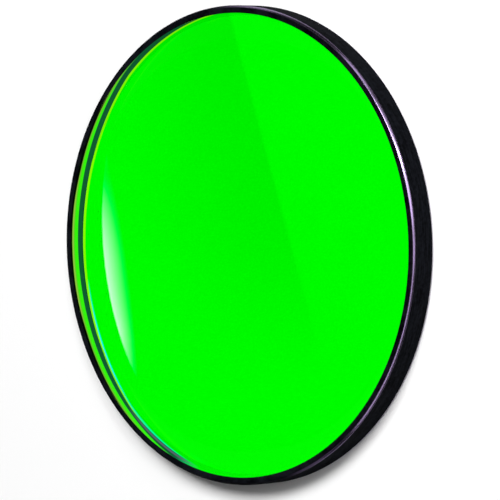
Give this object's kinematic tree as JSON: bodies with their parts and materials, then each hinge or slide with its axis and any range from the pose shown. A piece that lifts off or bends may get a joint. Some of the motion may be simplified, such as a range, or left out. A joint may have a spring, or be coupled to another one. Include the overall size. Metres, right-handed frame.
{
  "type": "optical bandpass filter",
  "caption": "Unmounted round bandpass filter: a flat coated glass disc with bevelled edges and a coat of black lacquer round its rim and the margins of both faces.",
  "frame": {"origin": "middle of the underside, on the optical axis, in the plane that the rear face's lacquer ring rests on", "axes": "+Z along the optical axis, out of the front face; the disc is round about it, so +X and +Y are free, and +X is the right of the picture"},
  "size_m": [0.05, 0.05, 0.003],
  "materials": {
    "coated_glass": "polished flat on both faces, with a green bandpass coating on the rear face and a clear anti-reflection coating on the front face",
    "black_lacquer": "thin black lacquer, satin on the rim and glossier on the bevels"
  },
  "bodies": {
    "root": {"filter_glass": "coated_glass", "edge_blackening": "black_lacquer"}
  },
  "joints": []
}
